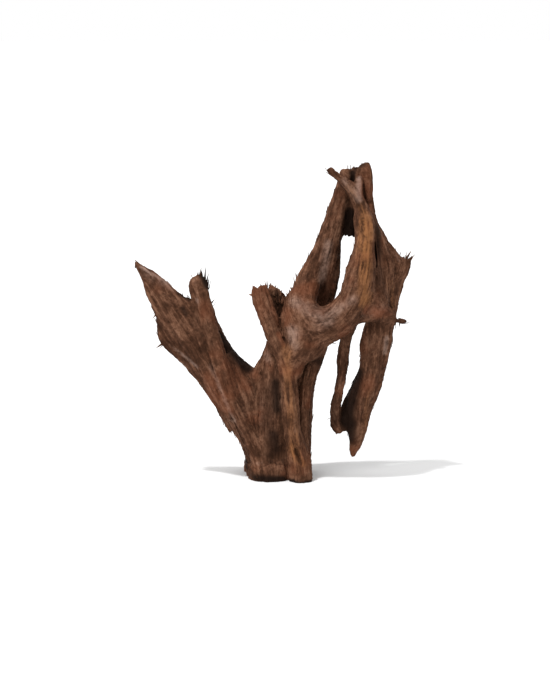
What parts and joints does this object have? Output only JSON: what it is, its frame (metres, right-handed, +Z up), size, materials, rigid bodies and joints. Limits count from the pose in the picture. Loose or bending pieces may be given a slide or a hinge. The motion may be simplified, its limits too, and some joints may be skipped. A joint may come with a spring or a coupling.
{
  "type": "piece of driftwood",
  "caption": "Upright piece of weathered driftwood on a sawn foot: fluted trunk, plank-like side arm, and crossed limbs round open gaps with a hanging branch, to stand as decor.",
  "frame": {"origin": "on the flat sawn face of the foot, at the foot's middle", "axes": "+X to the right in the picture, +Y away from the viewer, +Z up along the trunk"},
  "size_m": [0.3486, 0.0944, 0.3937],
  "materials": {
    "weathered_wood": "matte weathered dark brown, fibrous, with paler grey-brown ridges and near-black cracks"
  },
  "bodies": {
    "root": {"driftwood": "weathered_wood"}
  },
  "joints": []
}
